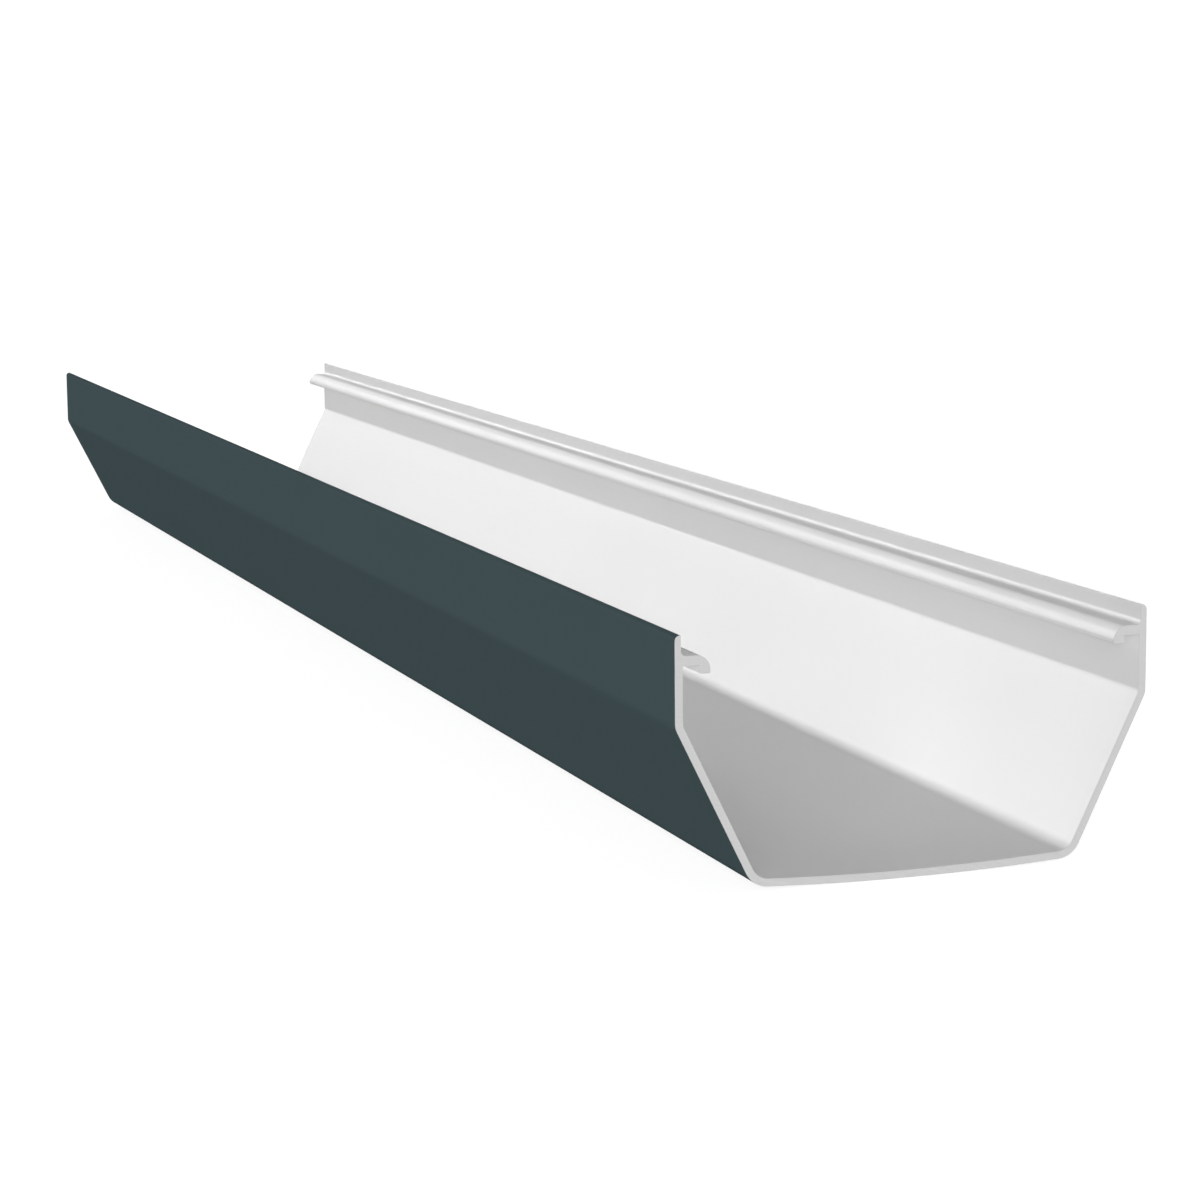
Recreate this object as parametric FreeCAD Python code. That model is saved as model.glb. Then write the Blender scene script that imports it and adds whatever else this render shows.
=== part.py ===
import FreeCAD
import Part
import math
import os

# A length of extruded roof gutter, one piece of stock. It is a wide channel with an upright wall
# along each side, a sloping side under each wall and a shallow bowed floor between the slopes.
# Inside each upright wall, below the top edge, an arm reaches into the channel and turns down in
# a round shoulder to a nose, which is the hook that brackets clip behind.
#
# Millimetres. X runs across the channel, Y along it and Z up. The origin is midway between both
# walls and both ends, at the height of the floor's lowest point.

# Overall size
LENGTH = 800.0
TOP_WIDTH = 125.0
HEIGHT = 63.7

# Walls, slopes and floor, measured on the outside
UPRIGHT_HEIGHT = 22.3
FOOT_WIDTH = 85.7
FLOOR_BOW = 1.3
WALL = 2.0
FOOT_RADIUS = 6.5
BEND_RADIUS = 5.0

# Lip, the thinner strip of wall above the hook
LIP_WALL = 1.6
LIP_ROUNDING = 1.4
LIP_INNER_ROUNDING = 0.2

# Hook along the inside of each upright wall
HOOK_DROP = 5.0
HOOK_REACH = 9.0
ARM_THICKNESS = 2.5
NOSE_WIDTH = 2.7
NOSE_DROP = 2.0
ARM_FILLET = 1.2
SHOULDER_RADIUS = 3.6
NOSE_TIP_RADIUS = 0.3
SLOT_RADIUS = 0.3

# Lengths below this count as none
TINY = 1e-6

# Places that follow from the sizes, on the side of positive X
wall_face = TOP_WIDTH / 2
foot_x = FOOT_WIDTH / 2
foot_z = FLOOR_BOW
bend_z = HEIGHT - UPRIGHT_HEIGHT
bow_radius = (foot_x ** 2 + FLOOR_BOW ** 2) / (2 * FLOOR_BOW)
slope_angle = math.atan2(bend_z - foot_z, wall_face - foot_x)


def point(x, z):
    """A point of the cross-section, in the plane of the end where Y is lowest."""
    return FreeCAD.Vector(x, -LENGTH / 2, z)


def line(start, end):
    """A straight edge."""
    return Part.LineSegment(start, end).toShape()


def arc(start, middle, end):
    """An edge along the circle through three points."""
    return Part.Arc(start, middle, end).toShape()


def around(centre, radius, angle):
    """The point at an angle from +X towards +Z on a circle of the cross-section."""
    return centre + FreeCAD.Vector(radius * math.cos(angle), 0, radius * math.sin(angle))


def rounded_run(corners):
    """Edges of a line through corners (point, radius), each inner corner rounded to its radius.

    Where the two roundings at the ends of a straight run would meet, both are made smaller in the
    same proportion, so that a rounding never outgrows its wall.
    """
    points = [corner[0] for corner in corners]
    setbacks = [0.0] * len(corners)
    for i in range(1, len(corners) - 1):
        turn = (points[i] - points[i - 1]).getAngle(points[i + 1] - points[i])
        setbacks[i] = corners[i][1] * math.tan(turn / 2)
    runs = [(points[i + 1] - points[i]).Length for i in range(len(points) - 1)]
    shares = [min(1.0, run / max(a + b, TINY)) for run, a, b in zip(runs, setbacks, setbacks[1:])]

    edges = []
    reached = points[0]
    for i in range(1, len(points) - 1):
        setback = setbacks[i] * min(shares[i - 1], shares[i])
        back = (points[i - 1] - points[i]).normalize()
        ahead = (points[i + 1] - points[i]).normalize()
        half_turn = back.getAngle(ahead) / 2
        inward = (back + ahead).normalize()
        to_arc = setback / math.cos(half_turn) - setback * math.tan(half_turn)
        start = points[i] + back * setback
        middle = points[i] + inward * to_arc
        end = points[i] + ahead * setback
        if (start - reached).Length > TINY:
            edges.append(line(reached, start))
        edges.append(arc(start, middle, end))
        reached = end
    edges.append(line(reached, points[-1]))
    return edges


def foot_centre():
    """The centre of the rounding that joins the bowed floor to the slope.

    It lies FOOT_RADIUS inside the slope and FOOT_RADIUS inside the floor's circle, which is
    where a line beside the slope meets a smaller circle about the floor's centre.
    """
    inward = FreeCAD.Vector(-math.sin(slope_angle), 0, math.cos(slope_angle))
    along = FreeCAD.Vector(math.cos(slope_angle), 0, math.sin(slope_angle))
    start = point(foot_x, foot_z) + inward * FOOT_RADIUS
    from_centre = start - point(0, bow_radius)
    inner = bow_radius - FOOT_RADIUS
    half_b = from_centre.dot(along)
    step = -half_b - math.sqrt(half_b ** 2 - from_centre.dot(from_centre) + inner ** 2)
    return start + along * step


def foot_arc(centre, radius):
    """The foot's rounding at a radius about its centre, from the floor up to the slope.

    Gives the end on the floor, the edge and the end on the slope.
    """
    down_the_bow = centre - point(0, bow_radius)
    first = math.atan2(down_the_bow.z, down_the_bow.x)
    last = slope_angle - math.pi / 2
    on_floor = around(centre, radius, first)
    on_slope = around(centre, radius, last)
    return on_floor, arc(on_floor, around(centre, radius, (first + last) / 2), on_slope), on_slope


def side_run(outer_start, inner_end):
    """Edges of one side, from the outer foot up, over the lip, round the hook and down inside."""
    slope_turn = math.pi / 2 - slope_angle
    lip_face = wall_face - LIP_WALL
    inner_face = wall_face - WALL
    inner_bend_z = bend_z + WALL * math.tan(slope_turn / 2)
    arm_top = HEIGHT - HOOK_DROP
    arm_underside = arm_top - ARM_THICKNESS
    nose_front = wall_face - HOOK_REACH
    nose_back = nose_front + NOSE_WIDTH
    nose_bottom = arm_underside - NOSE_DROP
    return rounded_run([
        (outer_start, 0),
        (point(wall_face, bend_z), BEND_RADIUS),
        (point(wall_face, HEIGHT), LIP_ROUNDING),
        (point(lip_face, HEIGHT), LIP_INNER_ROUNDING),
        (point(lip_face, arm_top), ARM_FILLET),
        (point(nose_front, arm_top), SHOULDER_RADIUS),
        (point(nose_front, nose_bottom), NOSE_TIP_RADIUS),
        (point(nose_back, nose_bottom), NOSE_TIP_RADIUS),
        (point(nose_back, arm_underside), SLOT_RADIUS),
        (point(inner_face, arm_underside), SLOT_RADIUS),
        (point(inner_face, inner_bend_z), BEND_RADIUS - WALL),
        (inner_end, 0),
    ])


def half_bow(depth, end):
    """Half of the floor's bow at a depth above its outside, from the channel's middle to an end."""
    centre = point(0, bow_radius)
    to_end = end - centre
    half_way = (math.atan2(to_end.z, to_end.x) - math.pi / 2) / 2
    return arc(point(0, depth), around(centre, bow_radius - depth, half_way), end)


def cross_section():
    """The closed outline of the gutter's material, as a face.

    One side is drawn, from the middle of the floor's outside round the hook to the middle of its
    inside. The other side is its mirror image.
    """
    centre = foot_centre()
    outer_floor_end, outer_foot, outer_slope_start = foot_arc(centre, FOOT_RADIUS)
    inner_floor_end, inner_foot, inner_slope_end = foot_arc(centre, FOOT_RADIUS - WALL)
    side = [half_bow(0, outer_floor_end), outer_foot]
    side += side_run(outer_slope_start, inner_slope_end)
    side += [inner_foot, half_bow(WALL, inner_floor_end)]
    other_side = [edge.mirror(point(0, 0), FreeCAD.Vector(1, 0, 0)) for edge in side]
    outline = Part.Wire(Part.sortEdges(side + other_side)[0])
    return Part.Face(outline)


os.makedirs("parts", exist_ok=True)
gutter_channel = cross_section().extrude(FreeCAD.Vector(0, LENGTH, 0))
gutter_channel.exportStep("parts/gutter_channel.step")

box = gutter_channel.BoundBox
print("gutter_channel", "valid", gutter_channel.isValid(), "solids", len(gutter_channel.Solids))
print("size", round(box.XLength, 3), round(box.YLength, 3), round(box.ZLength, 3))
print("lowest", round(box.ZMin, 4), "volume in cubic centimetres", round(gutter_channel.Volume / 1000, 2))
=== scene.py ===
# %% [markdown]
# # A length of roof gutter
#
# The real thing is one extrusion of rigid plastic: a wide channel with a shallow bowed floor, two
# sloping sides, two upright walls and a clip hook inside each top edge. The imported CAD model
# already holds its size and its place, so this lesson adds what a customer sees up close: exact
# roundings, the dark skin outside, the light body inside, the sawn ends, the light and the view.
# Every length below is in metres, in the frame of the CAD model.

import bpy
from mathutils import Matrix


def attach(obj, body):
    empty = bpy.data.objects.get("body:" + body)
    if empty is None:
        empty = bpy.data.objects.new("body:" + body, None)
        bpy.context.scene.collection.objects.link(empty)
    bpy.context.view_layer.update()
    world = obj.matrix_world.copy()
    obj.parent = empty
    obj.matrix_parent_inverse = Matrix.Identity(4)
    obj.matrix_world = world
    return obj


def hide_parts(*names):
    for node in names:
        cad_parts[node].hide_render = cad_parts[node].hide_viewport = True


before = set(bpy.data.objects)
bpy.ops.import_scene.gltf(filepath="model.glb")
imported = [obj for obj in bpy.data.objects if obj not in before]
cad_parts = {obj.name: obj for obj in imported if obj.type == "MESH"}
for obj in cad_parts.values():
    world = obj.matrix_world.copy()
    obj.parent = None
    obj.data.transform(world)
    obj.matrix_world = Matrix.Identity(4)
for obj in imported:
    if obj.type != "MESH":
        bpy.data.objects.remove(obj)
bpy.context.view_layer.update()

# %% Tools for the whole lesson
import math

import bpy
import numpy as np
from mathutils import Matrix, Vector

MILLIMETRE = 0.001
print("numpy", np.__version__, "and Blender", bpy.app.version_string)

# %% [markdown]
# ## Where the picture is taken from
#
# The view is a long lens from in front of the near end, to the left and a little above. The
# direction is given as a turn from the gutter's length, a tilt down and a small roll, because
# those three angles can be read off a picture's vanishing points. An aimed camera with a target
# object would also work, but it hides the roll.

# %% The camera
CAMERA_PLACE = Vector((-0.32841, -1.10693, 0.19017))
CAMERA_TURN = math.radians(19.288)
CAMERA_TILT = math.radians(8.866)
CAMERA_ROLL = math.radians(-0.523)
LENS = 97.70
SENSOR = 36.0
CLIP_NEAR, CLIP_FAR = 0.05, 100.0


def camera_axes(turn, tilt, roll):
    """Right, up and backward directions of a camera that looks along +Y, then turns towards +X,
    tilts down and rolls about its own line of sight."""
    forward = Vector((
        math.sin(turn) * math.cos(tilt),
        math.cos(turn) * math.cos(tilt),
        -math.sin(tilt),
    ))
    level = Vector((math.cos(turn), -math.sin(turn), 0.0))
    upright = level.cross(forward)
    right = math.cos(roll) * level + math.sin(roll) * upright
    up = math.cos(roll) * upright - math.sin(roll) * level
    return right, up, -forward


camera_data = bpy.data.cameras.new("camera")
camera_data.lens = LENS
camera_data.sensor_width = SENSOR
camera_data.clip_start = CLIP_NEAR
camera_data.clip_end = CLIP_FAR
camera = bpy.data.objects.new("camera", camera_data)
right, up, backward = camera_axes(CAMERA_TURN, CAMERA_TILT, CAMERA_ROLL)
camera.matrix_world = Matrix.Translation(CAMERA_PLACE) @ Matrix(
    (right, up, backward)
).transposed().to_4x4()
bpy.context.scene.collection.objects.link(camera)
bpy.context.scene.camera = camera

# %% [markdown]
# ## The outline of the section
#
# An extrusion is one outline carried along a line, so everything starts with that outline. It
# could be drawn as a curve by hand, but the die that makes the real profile is drawn as straight
# runs with a radius at each corner, and so is this one: a table of corners, each with its radius,
# for one side, which is then mirrored.

# %% Sizes of the channel
LENGTH = 800.0 * MILLIMETRE
WALL_FACE = 62.5 * MILLIMETRE
HEIGHT = 63.7 * MILLIMETRE
UPRIGHT_HEIGHT = 22.3 * MILLIMETRE
FOOT_X = 42.85 * MILLIMETRE
FLOOR_BOW = 1.3 * MILLIMETRE
WALL = 2.0 * MILLIMETRE
FOOT_RADIUS = 6.5 * MILLIMETRE
BEND_RADIUS = 5.0 * MILLIMETRE

BEND_Z = HEIGHT - UPRIGHT_HEIGHT
print("width", 2 * WALL_FACE, "height", round(HEIGHT, 4), "bend at", round(BEND_Z, 4))

# %% Sizes of the lip and the hook
LIP_WALL = 1.6 * MILLIMETRE
LIP_ROUNDING = 1.4 * MILLIMETRE
LIP_INNER_ROUNDING = 0.2 * MILLIMETRE
HOOK_DROP = 5.0 * MILLIMETRE
HOOK_REACH = 9.0 * MILLIMETRE
ARM_THICKNESS = 2.5 * MILLIMETRE
ARM_FILLET = 1.2 * MILLIMETRE
SHOULDER_RADIUS = 3.6 * MILLIMETRE
NOSE_WIDTH = 2.7 * MILLIMETRE
NOSE_DROP = 2.0 * MILLIMETRE
NOSE_TIP_RADIUS = 0.3 * MILLIMETRE
SLOT_RADIUS = 0.3 * MILLIMETRE

ARM_TOP = HEIGHT - HOOK_DROP
ARM_UNDERSIDE = ARM_TOP - ARM_THICKNESS
NOSE_BOTTOM = ARM_UNDERSIDE - NOSE_DROP
NOSE_FRONT = WALL_FACE - HOOK_REACH
NOSE_BACK = NOSE_FRONT + NOSE_WIDTH
print("hook from", round(NOSE_BOTTOM, 4), "to", round(ARM_TOP, 4), "high")

# %% [markdown]
# ## The floor and its two feet
#
# The floor isn't flat. It is bowed down by little more than a millimetre, a part of a very large
# circle that runs smoothly into the small rounding at the foot of each slope. A circle between two
# tangent lines is also a rounded corner, so the bow becomes one corner in the middle with a huge
# radius and each foot becomes one corner beside it. The same rounding then works for all of them.

# %% Corners of the bow and the feet
SLOPE_ANGLE = math.atan2(BEND_Z - FLOOR_BOW, WALL_FACE - FOOT_X)
BOW_RADIUS = (FOOT_X**2 + FLOOR_BOW**2) / (2 * FLOOR_BOW)


def foot_centre():
    """Centre of the foot's rounding: the point that is FOOT_RADIUS inside the slope's line and
    FOOT_RADIUS inside the bow's circle. A line is followed until it meets that smaller circle."""
    inward = np.array([-math.sin(SLOPE_ANGLE), math.cos(SLOPE_ANGLE)])
    along = np.array([math.cos(SLOPE_ANGLE), math.sin(SLOPE_ANGLE)])
    start = np.array([FOOT_X, FLOOR_BOW]) + FOOT_RADIUS * inward
    from_bow = start - np.array([0.0, BOW_RADIUS])
    half_b = from_bow @ along
    rest = from_bow @ from_bow - (BOW_RADIUS - FOOT_RADIUS) ** 2
    return start - along * (half_b + math.sqrt(half_b**2 - rest))


def floor_corners(depth):
    """The bow's corner in the middle and the foot's corner, on the surface that lies depth
    inside the outer one. Each is where the tangents at the two ends of its arc meet."""
    centre = foot_centre()
    first = math.atan2(centre[1] - BOW_RADIUS, centre[0])
    last = SLOPE_ANGLE - math.pi / 2
    reach = (FOOT_RADIUS - depth) / math.cos((last - first) / 2)
    middle = (first + last) / 2
    foot = centre + reach * np.array([math.cos(middle), math.sin(middle)])
    bow = BOW_RADIUS - (BOW_RADIUS - depth) / math.cos(first + math.pi / 2)
    return bow, foot


outer_bow, outer_foot = floor_corners(0.0)
inner_bow, inner_foot = floor_corners(WALL)
print("slope", round(math.degrees(SLOPE_ANGLE), 2), "degrees, bow radius", round(BOW_RADIUS, 4))

# %% [markdown]
# ## One side as a table of corners
#
# Going anticlockwise round the right side: up the outside, over the lip, out along the arm, round
# the nose, back under the arm and down the inside. The left side is the same table mirrored and
# read backwards, with the two bows between them.

# %% The corners of the whole outline
INNER_FACE = WALL_FACE - WALL
INNER_BEND_Z = BEND_Z + WALL * math.tan((math.pi / 2 - SLOPE_ANGLE) / 2)
LIP_FACE = WALL_FACE - LIP_WALL

right_side = np.array([
    (*outer_foot, FOOT_RADIUS),
    (WALL_FACE, BEND_Z, BEND_RADIUS),
    (WALL_FACE, HEIGHT, LIP_ROUNDING),
    (LIP_FACE, HEIGHT, LIP_INNER_ROUNDING),
    (LIP_FACE, ARM_TOP, ARM_FILLET),
    (NOSE_FRONT, ARM_TOP, SHOULDER_RADIUS),
    (NOSE_FRONT, NOSE_BOTTOM, NOSE_TIP_RADIUS),
    (NOSE_BACK, NOSE_BOTTOM, NOSE_TIP_RADIUS),
    (NOSE_BACK, ARM_UNDERSIDE, SLOT_RADIUS),
    (INNER_FACE, ARM_UNDERSIDE, SLOT_RADIUS),
    (INNER_FACE, INNER_BEND_Z, BEND_RADIUS - WALL),
    (*inner_foot, FOOT_RADIUS - WALL),
])
left_side = right_side[::-1] * (-1, 1, 1)
corners = np.vstack([
    (0.0, outer_bow, BOW_RADIUS),
    right_side,
    (0.0, inner_bow, BOW_RADIUS - WALL),
    left_side,
])
RIGHT_LIP, LEFT_LIP_INNER = 3, len(corners) - 4
print("corners", len(corners))

# %% [markdown]
# ## Rounding every corner at once
#
# Blender's Bevel could round the corners, but only with one number of segments and with normals
# that bend the flat walls beside them. Here every arc is worked out at the same time from two
# parameters, the number of the corner and the share of its turn. The exact surface direction
# comes with each point, which keeps flat walls flat and round ones round in the light.

# %% Arcs for all corners
ARC_STEPS = 13


def rounded(corners, steps):
    """Points and outward normals of a closed line whose corners are rounded, as arrays shaped
    (corner, step, 2).

    With unit directions a into a corner and b out of it, the turn is the angle from a to b, the
    arc starts radius * tan(turn / 2) before the corner, and its centre lies a radius from that
    start on the side that the line turns to. A share s of the arc has turned the start's normal
    by s * turn.
    """
    places, radii = corners[:, :2], corners[:, 2]
    ahead = np.roll(places, -1, axis=0) - places
    ahead /= np.linalg.norm(ahead, axis=1, keepdims=True)
    behind = np.roll(ahead, 1, axis=0)
    cross = behind[:, 0] * ahead[:, 1] - behind[:, 1] * ahead[:, 0]
    turn = np.arctan2(cross, (behind * ahead).sum(1))
    start = places - behind * (radii * np.abs(np.tan(turn / 2)))[:, None]
    outward = np.stack([behind[:, 1], -behind[:, 0]], 1)
    side = np.sign(turn)[:, None]
    centre = start - outward * side * radii[:, None]

    angle = turn[:, None] * np.linspace(0.0, 1.0, steps)
    cosine, sine = np.cos(angle), np.sin(angle)
    x, z = outward[:, :1], outward[:, 1:]
    normals = np.stack([x * cosine - z * sine, x * sine + z * cosine], 2)
    points = centre[:, None] + normals * (side * radii[:, None])[:, None]
    return points, normals


arc_points, arc_normals = rounded(corners, ARC_STEPS)
outline = arc_points.reshape(-1, 2)
outline_normals = arc_normals.reshape(-1, 2)
steps_between = np.roll(outline, -1, axis=0) - outline
run_lengths = np.linalg.norm(steps_between, axis=1)
run_start = np.concatenate([[0.0], np.cumsum(run_lengths)])
print("outline points", len(outline), "once round", round(run_start[-1], 4))

# %% [markdown]
# ## Carrying the outline along the length
#
# The body is a surface of two parameters, the place round the outline and the place along the
# length. A saw leaves a very small broken edge at each end, so the first and last rings are drawn
# in by a tenth of a millimetre along the surface normals. A Bevel modifier would have done that
# too, but here it costs four rings and no settings.

# %% Rings along the length
ARRIS = 0.12 * MILLIMETRE
LENGTH_STEPS = 32
ARRIS_STEPS = 4


def stations():
    """Place along the length, inset and lean of each ring. Over the broken edge of an end, an
    angle t goes from 0 to a quarter turn: the ring lies ARRIS * (1 - cos t) in from the end's
    face and is drawn in by ARRIS * (1 - sin t), which is a quarter circle, and its normal leans
    towards the end by cos t."""
    t = np.linspace(0.0, math.pi / 2, ARRIS_STEPS)
    depth = ARRIS * (1 - np.cos(t))
    inset = ARRIS * (1 - np.sin(t))
    lean = np.cos(t)
    middle = np.linspace(-LENGTH / 2 + ARRIS, LENGTH / 2 - ARRIS, LENGTH_STEPS + 1)[1:-1]
    none = np.zeros_like(middle)
    y = np.concatenate([depth - LENGTH / 2, middle, (LENGTH / 2 - depth)[::-1]])
    inset = np.concatenate([inset, none, inset[::-1]])
    lean = np.concatenate([-lean, none, lean[::-1]])
    return y, inset, lean


ring_y, ring_inset, ring_lean = stations()
ring_count, around_count = len(ring_y), len(outline)
print("rings", ring_count, "quads", (ring_count - 1) * around_count)

# %% Points and normals of the whole surface
grid_outline = outline[None] - outline_normals[None] * ring_inset[:, None, None]
grid_points = np.empty((ring_count, around_count, 3))
grid_points[..., 0] = grid_outline[..., 0]
grid_points[..., 1] = ring_y[:, None]
grid_points[..., 2] = grid_outline[..., 1]

upright_share = np.sqrt(1 - ring_lean**2)[:, None]
grid_normals = np.empty_like(grid_points)
grid_normals[..., 0] = outline_normals[:, 0] * upright_share
grid_normals[..., 1] = ring_lean[:, None]
grid_normals[..., 2] = outline_normals[:, 1] * upright_share
print("surface points", grid_points.shape[:2])

# %% [markdown]
# ## Faces
#
# Neighbouring rings are joined by four-sided faces, numbered with index arrays. The two ends are
# closed by one flat face each, because a sawn end is flat. The faces between two outline points
# know which finish they wear: the dark skin covers the outside from the inner corner of the front
# lip, down, under the floor and up to the rounding of the back lip.

# %% Quads, end faces and finishes
BODY, SKIN, SAWN = 0, 1, 2

ring_index, around_index = np.meshgrid(
    np.arange(ring_count - 1), np.arange(around_count), indexing="ij"
)
next_around = (around_index + 1) % around_count
low, high = ring_index * around_count, (ring_index + 1) * around_count
quads = np.stack(
    [low + around_index, high + around_index, high + next_around, low + next_around], 2
).reshape(-1, 4)
near_end = np.arange(around_count)
far_end = (ring_count - 1) * around_count + np.arange(around_count)[::-1]

skin_from = LEFT_LIP_INNER * ARC_STEPS
skin_to = RIGHT_LIP * ARC_STEPS
around_is_skin = (np.arange(around_count) >= skin_from) | (np.arange(around_count) < skin_to)
on_arris = (ring_index < ARRIS_STEPS - 1) | (ring_index >= ring_count - ARRIS_STEPS)
quad_finish = np.where(on_arris, SAWN, np.where(around_is_skin[around_index], SKIN, BODY))
finish = np.concatenate([quad_finish.reshape(-1), [SAWN, SAWN]])
print("skin on", int(around_is_skin.sum()), "of", around_count, "strips")

# %% Build the mesh
vertex_order = np.concatenate([quads.reshape(-1), near_end, far_end])
loop_totals = np.concatenate([np.full(len(quads), 4), [around_count, around_count]])
loop_starts = np.concatenate([[0], np.cumsum(loop_totals)[:-1]])

channel_mesh = bpy.data.meshes.new("gutter_channel_extrusion")
channel_mesh.vertices.add(ring_count * around_count)
channel_mesh.vertices.foreach_set("co", grid_points.reshape(-1).astype(np.float32))
channel_mesh.loops.add(len(vertex_order))
channel_mesh.loops.foreach_set("vertex_index", vertex_order.astype(np.int32))
channel_mesh.polygons.add(len(loop_totals))
channel_mesh.polygons.foreach_set("loop_start", loop_starts.astype(np.int32))
channel_mesh.polygons.foreach_set("material_index", finish.astype(np.int32))
channel_mesh.update(calc_edges=True)
print("edges", len(channel_mesh.edges), "faults mended", channel_mesh.validate())

# %% [markdown]
# ## Exact normals
#
# Each face corner gets the normal worked out above, so the light follows the true curves. Shade
# Auto Smooth would guess them from the faces, and a flat wall would look slightly swollen next to
# its roundings.

# %% A normal for each face corner
end_normals = np.zeros((2, around_count, 3))
end_normals[0, :, 1], end_normals[1, :, 1] = -1.0, 1.0
loop_normals = np.concatenate([
    grid_normals.reshape(-1, 3)[quads.reshape(-1)], end_normals.reshape(-1, 3)
])
channel_mesh.polygons.foreach_set("use_smooth", np.ones(len(loop_totals), bool))
channel_mesh.normals_split_custom_set(loop_normals.tolist())
print("corner normals", len(loop_normals))

# %% [markdown]
# ## A map of the surface
#
# The surface of an extrusion unrolls without any stretch, so the map is written down and not
# unwrapped: distance round the outline goes to the right and length goes up. Skin, body, broken
# edges and sawn ends each lie apart, so no colour can leak from one finish to the next when the
# map is painted.

# %% Where the parts of the map lie
EDGE, GAP = 0.01, 0.02
ACROSS = (1 - 2 * EDGE - GAP) / run_start[-1]
WALLS_LOW, WALLS_HIGH = 0.04, 0.64
ARRIS_STRIP = 0.01
END_SCALE = 3.6
ENDS_LOW, FAR_END_SHIFT = 0.72, 0.5
ALONG = (WALLS_HIGH - WALLS_LOW) / (LENGTH - 2 * ARRIS)
print("map units to a metre: across", round(ACROSS, 3), "along", round(ALONG, 3))

# %% The map of the walls
run_from_skin = (run_start[:-1] - run_start[skin_from]) % run_start[-1]
strip_left = EDGE + run_from_skin * ACROSS + np.where(around_is_skin, 0.0, GAP)
strip_right = strip_left + run_lengths * ACROSS

last = ring_count - 1
ring_height = WALLS_LOW + (ring_y + LENGTH / 2 - ARRIS) * ALONG
strip_low, strip_high = ring_height[:-1].copy(), ring_height[1:].copy()
arris_share = np.linspace(0.0, ARRIS_STRIP, ARRIS_STEPS)
strip_low[:ARRIS_STEPS - 1] = EDGE + arris_share[:-1]
strip_high[:ARRIS_STEPS - 1] = EDGE + arris_share[1:]
strip_low[last - ARRIS_STEPS + 1:] = WALLS_HIGH + GAP + arris_share[:-1]
strip_high[last - ARRIS_STEPS + 1:] = WALLS_HIGH + GAP + arris_share[1:]

left, right = strip_left[around_index], strip_right[around_index]
bottom, top = strip_low[ring_index], strip_high[ring_index]
quad_map = np.stack([
    np.stack([left, bottom], 2), np.stack([left, top], 2),
    np.stack([right, top], 2), np.stack([right, bottom], 2),
], 2)
print("skin strip ends at", round(float(strip_right[around_is_skin].max()), 3))

# %% The map of the sawn ends
end_outline = grid_outline[0] * END_SCALE + (WALL_FACE * END_SCALE + GAP, ENDS_LOW)
near_map = end_outline
far_map = end_outline[::-1] + (FAR_END_SHIFT, 0.0)
channel_map = channel_mesh.uv_layers.new(name="OFBake")
channel_map.uv.foreach_set("vector", np.concatenate([
    quad_map.reshape(-1), near_map.reshape(-1), far_map.reshape(-1)
]).astype(np.float32))
print("map reaches", far_map.max(0).round(3))

# %% Put the channel in the scene
channel = bpy.data.objects.new("gutter_channel_extrusion", channel_mesh)
bpy.context.scene.collection.objects.link(channel)
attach(channel, "root")
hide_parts("gutter_channel")
print("channel faces", len(channel_mesh.polygons), "vertices", len(channel_mesh.vertices))

# %% [markdown]
# ## Writing shader maths as Python
#
# A material is a chain of nodes. Wiring arithmetic by hand hides what it says, so a small class
# wraps a node's output and lets plus, minus and times add the nodes. Every other node comes from
# one method, so there is one place where settings and links are made.

# %% The shader helpers
class Signal:
    """One output of a node. Arithmetic on it adds Math nodes and gives the next output."""

    def __init__(self, paint, socket):
        self.paint, self.socket = paint, socket

    def maths(self, operation, *values):
        return self.paint.node("ShaderNodeMath", {"operation": operation}, dict(enumerate(values)))

    def __add__(self, other):
        return self.maths("ADD", self, other)

    def __sub__(self, other):
        return self.maths("SUBTRACT", self, other)

    def __rsub__(self, other):
        return self.maths("SUBTRACT", other, self)

    def __mul__(self, other):
        return self.maths("MULTIPLY", self, other)

    __radd__, __rmul__ = __add__, __mul__


class Paint:
    """A node tree being filled. node() is the only way a node is added."""

    def __init__(self, owner):
        owner.use_nodes = True
        self.owner, self.tree = owner, owner.node_tree
        self.tree.nodes.clear()

    def node(self, kind, settings=None, inputs=None, output=0):
        """Adds a node: its settings first, then its sockets, each a value or a Signal. Gives the
        named or numbered output."""
        made = self.tree.nodes.new(kind)
        for name, value in (settings or {}).items():
            setattr(made, name, value)
        for name, value in (inputs or {}).items():
            if isinstance(value, Signal):
                self.tree.links.new(value.socket, made.inputs[name])
            else:
                made.inputs[name].default_value = value
        return Signal(self, made.outputs[output]) if made.outputs else None


# %% [markdown]
# ## What a die leaves on a plastic wall
#
# Hot plastic is drawn through a steel die, so every nick of the die is dragged into a line that
# runs the length of the piece and slowly fades. Between the lines the wall is very slightly wavy.
# A Wave texture is too even for that. Here it is noise on the map, drawn out hundreds of times
# longer along the length than across, which also follows the surface round the hooks.

# %% Lines, waves and clouds
def streaks(paint, spacing, run_out):
    """Noise between 0 and 1 that changes about once in `spacing` round the outline and once in
    `run_out` along the length, both in metres: the map's two numbers, each divided by map units
    per metre times that distance."""
    place = paint.node("ShaderNodeUVMap", {"uv_map": "OFBake"})
    counts = (1 / (ACROSS * spacing), 1 / (ALONG * run_out), 0.0)
    counted = paint.node("ShaderNodeVectorMath", {"operation": "MULTIPLY"}, {0: place, 1: counts})
    return paint.node("ShaderNodeTexNoise", {"noise_dimensions": "2D"}, {
        "Vector": counted, "Scale": 1.0, "Detail": 1.0,
    })


def clouds(paint, size, detail):
    """Noise between 0 and 1 in space, in patches of about `size` metres."""
    place = paint.node("ShaderNodeTexCoord", None, None, "Object")
    return paint.node("ShaderNodeTexNoise", None, {
        "Vector": place, "Scale": 1 / size, "Detail": detail,
    })


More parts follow.
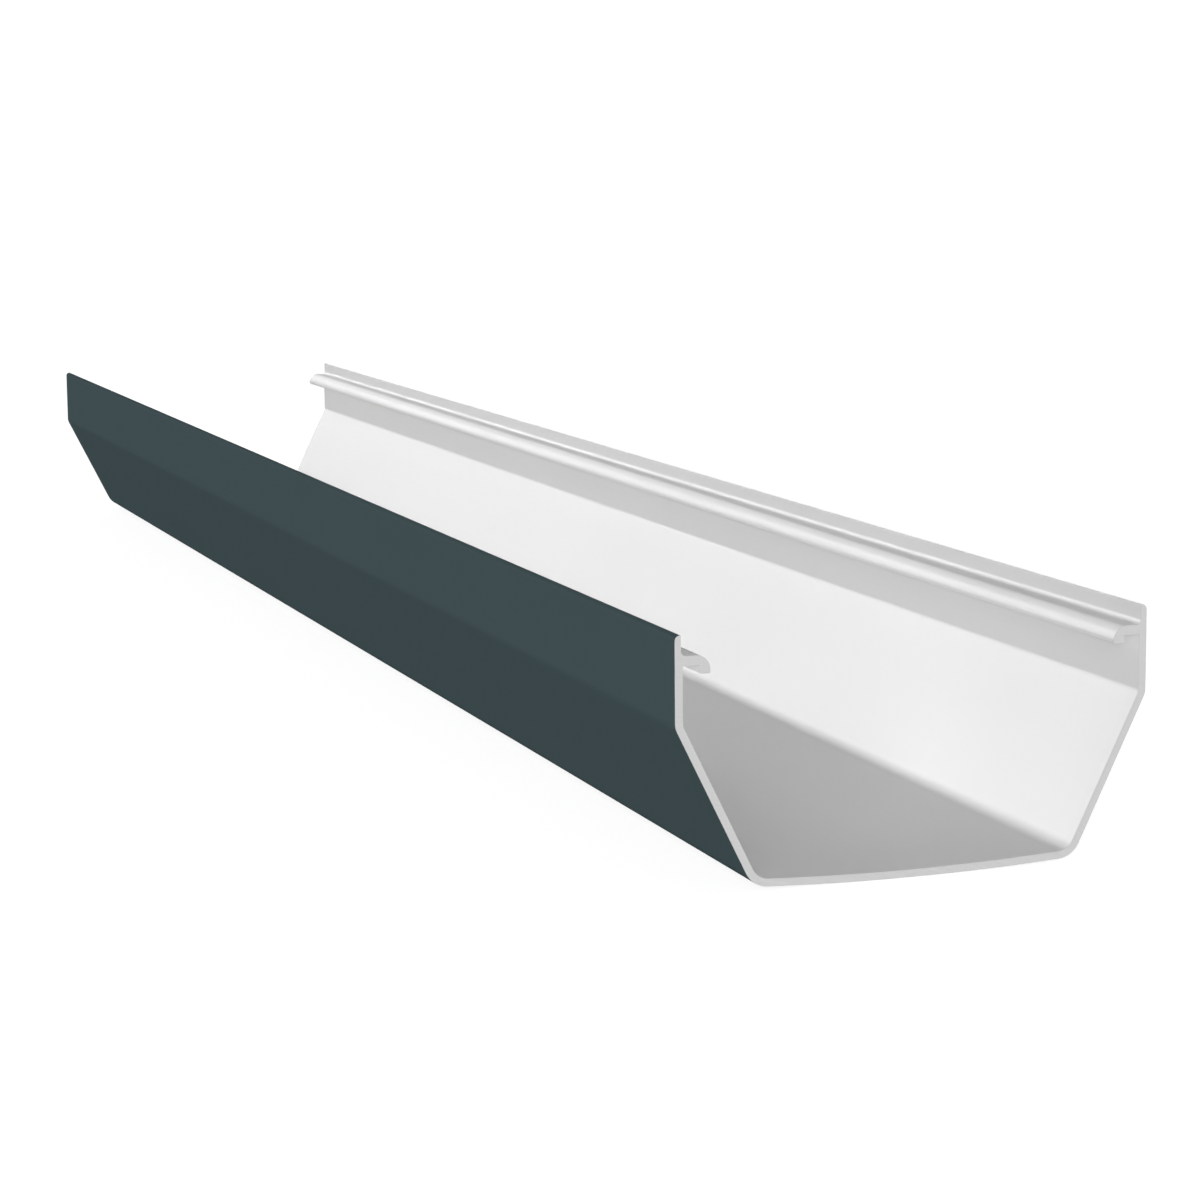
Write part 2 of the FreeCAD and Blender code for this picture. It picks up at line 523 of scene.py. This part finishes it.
def between(paint, share, first, second):
    """The colour that lies a share of the way from the first to the second."""
    inputs = {0: share, 6: (*first, 1.0), 7: (*second, 1.0)}
    return paint.node("ShaderNodeMix", {"data_type": "RGBA"}, inputs, 2)


def finish_with(paint, colour, roughness, height, gloss):
    """Ends a plastic: its colour and roughness, a bump whose height is in metres, its gloss."""
    bump = paint.node("ShaderNodeBump", None, {"Strength": 1.0, "Distance": 1.0, "Height": height})
    shader = paint.node("ShaderNodeBsdfPrincipled", None, {
        "Base Color": colour, "Roughness": roughness, "Normal": bump,
        "Specular IOR Level": gloss,
    })
    paint.node("ShaderNodeOutputMaterial", None, {"Surface": shader})
    channel_mesh.materials.append(paint.owner)
    print(paint.owner.name, "nodes", len(paint.tree.nodes))


# %% [markdown]
# ## Light body
#
# The inside is plain light grey plastic, satin from the polished core of the die. It scatters
# most of the light and keeps a soft gloss that shows at a low angle, so one Principled shader is
# enough. The lines are a few thousandths of a millimetre deep, the waves ten times as deep and ten
# times as wide.

# %% Body finish
BODY_DULL, BODY_BRIGHT = (0.753, 0.753, 0.751), (0.784, 0.784, 0.784)
BODY_ROUGHNESS, BODY_GLOSS = 0.32, 1.0
LINE_DULLING, CLOUD_DULLING = 0.06, 0.08
LINE_DEPTH, WAVE_DEPTH = 3e-6, 30e-6

body = Paint(bpy.data.materials.new("gutter_body"))
die_lines = streaks(body, spacing=1.6 * MILLIMETRE, run_out=0.5)
wall_waves = streaks(body, spacing=16 * MILLIMETRE, run_out=0.9)
body_clouds = clouds(body, size=60 * MILLIMETRE, detail=2.0)
finish_with(
    body,
    colour=between(body, 0.5 * wall_waves + 0.5 * body_clouds, BODY_DULL, BODY_BRIGHT),
    roughness=BODY_ROUGHNESS + LINE_DULLING * die_lines + CLOUD_DULLING * body_clouds,
    height=LINE_DEPTH * die_lines + WAVE_DEPTH * wall_waves,
    gloss=BODY_GLOSS,
)

# %% [markdown]
# ## Dark skin
#
# The outside is a thin coloured skin that is extruded together with the body, so it shares the
# die lines but is matte: weather-proof skins have a fine grain that takes the gloss away. The
# grain is noise in space, half a millimetre across, as bump, and the gloss is none. Even a weak
# gloss grows at a low angle and would make the far end of the side paler than the near end.

# %% Skin finish
SKIN_DULL, SKIN_BRIGHT = (0.0775, 0.1134, 0.1229), (0.0841, 0.1229, 0.1331)
SKIN_ROUGHNESS, SKIN_GLOSS = 0.70, 0.0
SKIN_LINE_DULLING, GRAIN_DEPTH = 0.05, 2e-6

skin = Paint(bpy.data.materials.new("gutter_skin"))
skin_lines = streaks(skin, spacing=2.2 * MILLIMETRE, run_out=0.6)
skin_waves = streaks(skin, spacing=18 * MILLIMETRE, run_out=0.9)
skin_clouds = clouds(skin, size=50 * MILLIMETRE, detail=3.0)
grain = clouds(skin, size=0.5 * MILLIMETRE, detail=1.0)
finish_with(
    skin,
    colour=between(skin, 0.5 * skin_waves + 0.5 * skin_clouds, SKIN_DULL, SKIN_BRIGHT),
    roughness=SKIN_ROUGHNESS + SKIN_LINE_DULLING * skin_lines + CLOUD_DULLING * skin_clouds,
    height=LINE_DEPTH * skin_lines + WAVE_DEPTH * skin_waves + GRAIN_DEPTH * grain,
    gloss=SKIN_GLOSS,
)

# %% [markdown]
# ## Sawn ends
#
# A circular saw leaves fine arcs about the centre of its blade, one for each tooth that stood a
# little proud. The distance from that centre is a single number over the whole cut, and a sine of
# it gives the arcs. Noise on the same number makes some arcs deeper than others. The cut is
# duller than the walls, because it is torn and not polished.

# %% Sawn finish
BLADE_CENTRE = (-0.07, 0.0, -0.16)
TOOTH_STEP = 0.9 * MILLIMETRE
DEEPER_STEP = 0.7 * TOOTH_STEP
SAWN_DULL, SAWN_BRIGHT = (0.735, 0.736, 0.736), (0.783, 0.784, 0.784)
SAWN_ROUGHNESS, SAWN_GLOSS = 0.54, 0.3
ARC_DEPTH, TEAR_DEPTH, TEAR_DULLING = 2e-6, 12e-6, 0.12

sawn = Paint(bpy.data.materials.new("gutter_sawn_end"))
in_space = sawn.node("ShaderNodeTexCoord", None, None, "Object")
in_the_cut = sawn.node(
    "ShaderNodeVectorMath", {"operation": "MULTIPLY"}, {0: in_space, 1: (1.0, 0.0, 1.0)}
)
reach = sawn.node(
    "ShaderNodeVectorMath", {"operation": "DISTANCE"}, {0: in_the_cut, 1: BLADE_CENTRE}, "Value"
)
arcs = sawn.node("ShaderNodeMath", {"operation": "SINE"}, {0: reach * (2 * math.pi / TOOTH_STEP)})
depths = sawn.node("ShaderNodeTexNoise", {"noise_dimensions": "1D"}, {
    "W": reach * (1 / DEEPER_STEP), "Scale": 1.0, "Detail": 2.0,
})
finish_with(
    sawn,
    colour=between(sawn, depths, SAWN_DULL, SAWN_BRIGHT),
    roughness=SAWN_ROUGHNESS + TEAR_DULLING * depths,
    height=ARC_DEPTH * arcs + TEAR_DEPTH * depths,
    gloss=SAWN_GLOSS,
)

# %% [markdown]
# ## The floor
#
# The piece lies on a plain pale floor that runs into the backdrop without an edge. Only the camera
# sees it. Its glow keeps it close to white, and its small share of true light leaves a faint
# shadow where the gutter touches down, which tells the eye that it stands on something.

# %% Floor
FLOOR_HALF = 8.0
FLOOR_GLOW, FLOOR_SHADE = 0.86, 0.45

floor_mesh = bpy.data.meshes.new("floor")
floor_mesh.from_pydata([
    (-FLOOR_HALF, -FLOOR_HALF, 0), (FLOOR_HALF, -FLOOR_HALF, 0),
    (FLOOR_HALF, FLOOR_HALF, 0), (-FLOOR_HALF, FLOOR_HALF, 0),
], [], [(0, 1, 2, 3)])
floor = bpy.data.objects.new("floor", floor_mesh)
bpy.context.scene.collection.objects.link(floor)

floor_paint = Paint(bpy.data.materials.new("floor"))
lit = floor_paint.node("ShaderNodeBsdfDiffuse", None, {"Color": (FLOOR_SHADE,) * 3 + (1.0,)})
glow = floor_paint.node("ShaderNodeEmission", None, {"Strength": FLOOR_GLOW})
together = floor_paint.node("ShaderNodeAddShader", None, {0: lit, 1: glow})
floor_paint.node("ShaderNodeOutputMaterial", None, {"Surface": together})
floor_mesh.materials.append(floor_paint.owner)
floor.visible_diffuse = False
floor.visible_glossy = False
floor.visible_shadow = False
print("floor", floor.dimensions[:2])

# %% [markdown]
# ## Light
#
# A channel shades itself, so the direction of each lamp decides which wall it reaches. Six wide
# soft lamps do the work. Two in front, one on each side of the near end, light the cut end, and
# the left one also lights the dark side. One from the right crosses the open top to the inside of
# the front wall, and a weak one from the left lights the inside of the back wall. Two from behind
# glance off the floor, the hooks and the back slope towards the camera, which makes the slope the
# brightest face.
#
# The lamps on the left and behind on the left cast no shadow. They stand for the many reflectors
# of a studio, whose light comes round every corner, so the front wall leaves no dark bands on the
# faces behind it. Suns are used because the light must be the same along the whole length. The
# world adds light from all round, more from below than from above, as a pale floor does.

# %% World
LIGHT_ABOVE, LIGHT_BELOW, BACKDROP = 0.05, 0.232, 1.2
WHITE = (1.0, 1.0, 1.0, 1.0)

world = bpy.data.worlds.new("studio")
bpy.context.scene.world = world
studio = Paint(world)
direction = studio.node("ShaderNodeTexCoord", None, None, "Generated")
height = studio.node("ShaderNodeSeparateXYZ", None, {0: direction}, "Z")
is_above = studio.node("ShaderNodeMath", {"operation": "GREATER_THAN"}, {0: height, 1: 0.0})
fill = studio.node("ShaderNodeBackground", None, {
    "Color": WHITE, "Strength": LIGHT_ABOVE * is_above + LIGHT_BELOW * (1 - is_above),
})
backdrop = studio.node("ShaderNodeBackground", None, {"Color": WHITE, "Strength": BACKDROP})
seen = studio.node("ShaderNodeLightPath", None, None, "Is Camera Ray")
both = studio.node("ShaderNodeMixShader", None, {0: seen, 1: fill, 2: backdrop})
studio.node("ShaderNodeOutputWorld", None, {"Surface": both})
print("world nodes", len(studio.tree.nodes))

# %% Six soft suns
SUN_SPREAD = math.radians(36)
# The four columns: azimuth and elevation in degrees, strength, and whether it casts a shadow.
# A strength of 1 lights a white face that is turned to the lamp to white.
SUNS = {
    "front_left": (240, 15, 0.442, True),
    "front_right": (300, 0, 0.289, True),
    "right": (0, 15, 0.350, True),
    "behind": (90, 24, 0.221, True),
    "behind_left": (120, 12, 0.347, False),
    "left": (180, 0, 0.082, False),
}


def sun_towards(azimuth, elevation):
    """Unit direction to a lamp: azimuth from +X towards +Y and elevation from the floor, in
    degrees."""
    azimuth, elevation = math.radians(azimuth), math.radians(elevation)
    level = math.cos(elevation)
    return Vector((level * math.cos(azimuth), level * math.sin(azimuth), math.sin(elevation)))


for name, (azimuth, elevation, strength, casts_shadow) in SUNS.items():
    sun_data = bpy.data.lights.new(name, "SUN")
    sun_data.energy = strength * math.pi
    sun_data.angle = SUN_SPREAD
    sun_data.use_shadow = casts_shadow
    # The second way of sampling a wide sun still stops at walls, so a lamp without shadow skips it
    sun_data.cycles.use_multiple_importance_sampling = casts_shadow
    sun = bpy.data.objects.new(name, sun_data)
    sun.rotation_euler = sun_towards(azimuth, elevation).to_track_quat("Z", "Y").to_euler()
    bpy.context.scene.collection.objects.link(sun)
print("suns", len(SUNS), "without shadow", sum(not columns[3] for columns in SUNS.values()))

# %% [markdown]
# ## From light to picture
#
# The standard view shows every tone as it is lit, so white plastic stays white and the greys can
# be compared with a picture by number. Filmic looks softer but would turn the backdrop grey.

# %% View
bpy.context.scene.view_settings.view_transform = "Standard"
bpy.context.scene.view_settings.look = "None"
print("view", bpy.context.scene.view_settings.view_transform)
